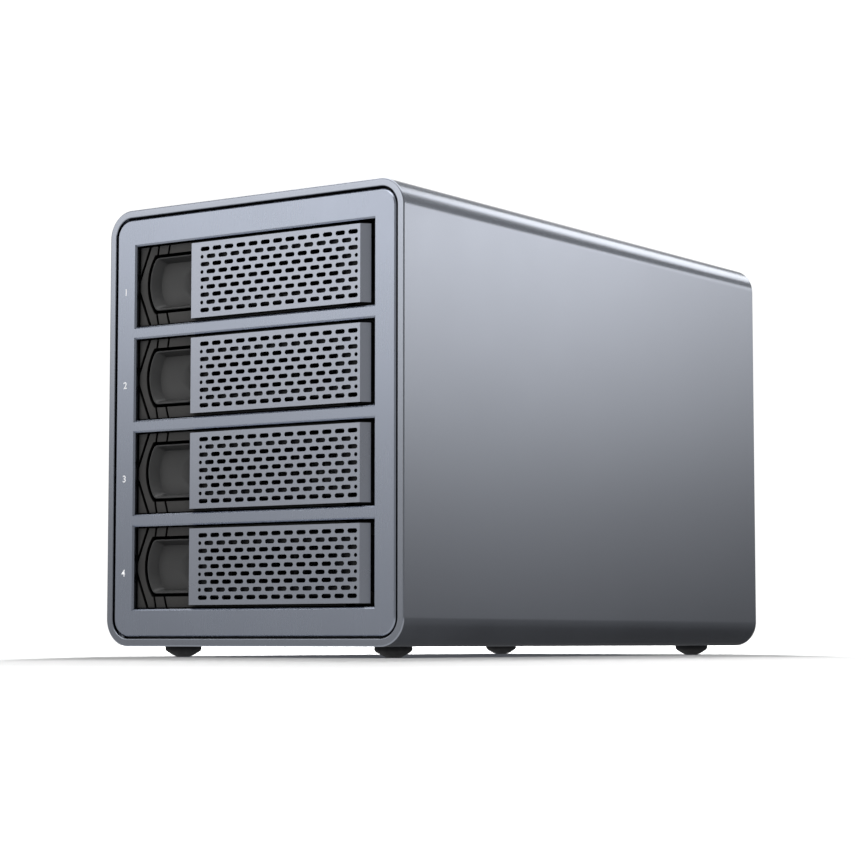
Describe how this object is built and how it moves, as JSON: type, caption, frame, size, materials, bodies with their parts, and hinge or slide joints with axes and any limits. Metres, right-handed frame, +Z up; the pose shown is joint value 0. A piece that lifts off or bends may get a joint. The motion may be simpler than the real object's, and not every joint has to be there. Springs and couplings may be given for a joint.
{
  "type": "nas enclosure",
  "caption": "Desktop storage enclosure: rounded aluminium sleeve, front panel with removable drive trays behind perforated lever doors, rear fan and sockets, domed rubber feet.",
  "frame": {"origin": "on the standing surface, under the middle of the case", "axes": "+X to the right seen from the front, +Y from the front to the rear, +Z up"},
  "size_m": [0.133, 0.258, 0.1638],
  "materials": {
    "shell_anodised": "bead-blasted, space-grey anodised",
    "panel_anodised": "fine brushed, space-grey anodised",
    "door_anodised": "satin anodised, perforated",
    "face_plastic": "fine moulded texture",
    "button_plastic": "fine moulded texture",
    "inner_plastic": "plain moulded",
    "foot_rubber": "moulded, matt",
    "sheet_steel": "zinc-plated sheet",
    "screw_steel": "nickel-plated",
    "dark_steel": "fine textured black paint",
    "guard_wire": "bright nickel-plated wire",
    "circuit_board": "green solder mask",
    "heat_sink_alu": "plain extruded",
    "standoff_brass": "turned",
    "lamp_window": "milky clear",
    "fan_plastic": "satin moulded"
  },
  "bodies": {
    "chassis": {"outer_shell": "shell_anodised", "front_panel": "panel_anodised", "bezel_frame": "inner_plastic", "led_board": "circuit_board", "light_pipes": "lamp_window", "cage_left": "sheet_steel", "cage_right": "sheet_steel", "cage_top": "sheet_steel", "cage_bottom": "sheet_steel", "cage_screws": "screw_steel", "rails_left": "inner_plastic", "rails_right": "inner_plastic", "backplane_board": "circuit_board", "sata_sockets": "inner_plastic", "power_connector": "inner_plastic", "controller_board": "circuit_board", "heat_sink": "heat_sink_alu", "board_standoffs": "standoff_brass", "lan_sockets": "sheet_steel", "usb_sockets": "sheet_steel", "psu_case": "sheet_steel", "ac_inlet": "inner_plastic", "inlet_pins": "screw_steel", "switch_housing": "inner_plastic", "rear_panel": "dark_steel", "panel_screws": "screw_steel", "fan_frame": "fan_plastic", "fan_guard": "guard_wire", "fan_screws": "screw_steel", "rubber_feet": "foot_rubber"},
    "fan_rotor": {"fan_rotor": "fan_plastic"},
    "power_rocker": {"power_rocker": "inner_plastic"},
    "tray_1": {"tray_frame_1": "inner_plastic", "tray_face_1": "face_plastic", "hinge_pin_1": "screw_steel", "button_spring_1": "screw_steel"},
    "lever_1": {"door_skin_1": "door_anodised", "lever_arm_1": "inner_plastic"},
    "button_1": {"release_button_1": "button_plastic"},
    "tray_2": {"tray_frame_2": "inner_plastic", "tray_face_2": "face_plastic", "hinge_pin_2": "screw_steel", "button_spring_2": "screw_steel"},
    "lever_2": {"door_skin_2": "door_anodised", "lever_arm_2": "inner_plastic"},
    "button_2": {"release_button_2": "button_plastic"},
    "tray_3": {"tray_frame_3": "inner_plastic", "tray_face_3": "face_plastic", "hinge_pin_3": "screw_steel", "button_spring_3": "screw_steel"},
    "lever_3": {"door_skin_3": "door_anodised", "lever_arm_3": "inner_plastic"},
    "button_3": {"release_button_3": "button_plastic"},
    "tray_4": {"tray_frame_4": "inner_plastic", "tray_face_4": "face_plastic", "hinge_pin_4": "screw_steel", "button_spring_4": "screw_steel"},
    "lever_4": {"door_skin_4": "door_anodised", "lever_arm_4": "inner_plastic"},
    "button_4": {"release_button_4": "button_plastic"}
  },
  "joints": [
    {"name": "tray_1_slide", "type": "slide", "parent": "chassis", "child": "tray_1", "axis": [0, -1, 0], "range_m": [0, 0.2]},
    {"name": "lever_1_hinge", "type": "hinge", "parent": "tray_1", "child": "lever_1", "pos_m": [0.046, -0.1225, 0.13527], "axis": [0, 0, 1], "range_deg": [0, 90]},
    {"name": "button_1_press", "type": "slide", "parent": "tray_1", "child": "button_1", "axis": [0, 1, 0], "range_m": [0, 0.002], "stiffness_N_per_m": 500, "springref_m": -0.002, "deforming": ["button_spring_1"]},
    {"name": "tray_2_slide", "type": "slide", "parent": "chassis", "child": "tray_2", "axis": [0, -1, 0], "range_m": [0, 0.2]},
    {"name": "lever_2_hinge", "type": "hinge", "parent": "tray_2", "child": "lever_2", "pos_m": [0.046, -0.1225, 0.10091], "axis": [0, 0, 1], "range_deg": [0, 90]},
    {"name": "button_2_press", "type": "slide", "parent": "tray_2", "child": "button_2", "axis": [0, 1, 0], "range_m": [0, 0.002], "stiffness_N_per_m": 500, "springref_m": -0.002, "deforming": ["button_spring_2"]},
    {"name": "tray_3_slide", "type": "slide", "parent": "chassis", "child": "tray_3", "axis": [0, -1, 0], "range_m": [0, 0.2]},
    {"name": "lever_3_hinge", "type": "hinge", "parent": "tray_3", "child": "lever_3", "pos_m": [0.046, -0.1225, 0.06655], "axis": [0, 0, 1], "range_deg": [0, 90]},
    {"name": "button_3_press", "type": "slide", "parent": "tray_3", "child": "button_3", "axis": [0, 1, 0], "range_m": [0, 0.002], "stiffness_N_per_m": 500, "springref_m": -0.002, "deforming": ["button_spring_3"]},
    {"name": "tray_4_slide", "type": "slide", "parent": "chassis", "child": "tray_4", "axis": [0, -1, 0], "range_m": [0, 0.2]},
    {"name": "lever_4_hinge", "type": "hinge", "parent": "tray_4", "child": "lever_4", "pos_m": [0.046, -0.1225, 0.03219], "axis": [0, 0, 1], "range_deg": [0, 90]},
    {"name": "button_4_press", "type": "slide", "parent": "tray_4", "child": "button_4", "axis": [0, 1, 0], "range_m": [0, 0.002], "stiffness_N_per_m": 500, "springref_m": -0.002, "deforming": ["button_spring_4"]},
    {"name": "fan_spin", "type": "hinge", "parent": "chassis", "child": "fan_rotor", "pos_m": [0, 0.118, 0.108], "axis": [0, 1, 0], "continuous": true},
    {"name": "power_rocker_hinge", "type": "hinge", "parent": "chassis", "child": "power_rocker", "pos_m": [0.0145, 0.1225, 0.028], "axis": [1, 0, 0], "range_deg": [0, 20]}
  ]
}
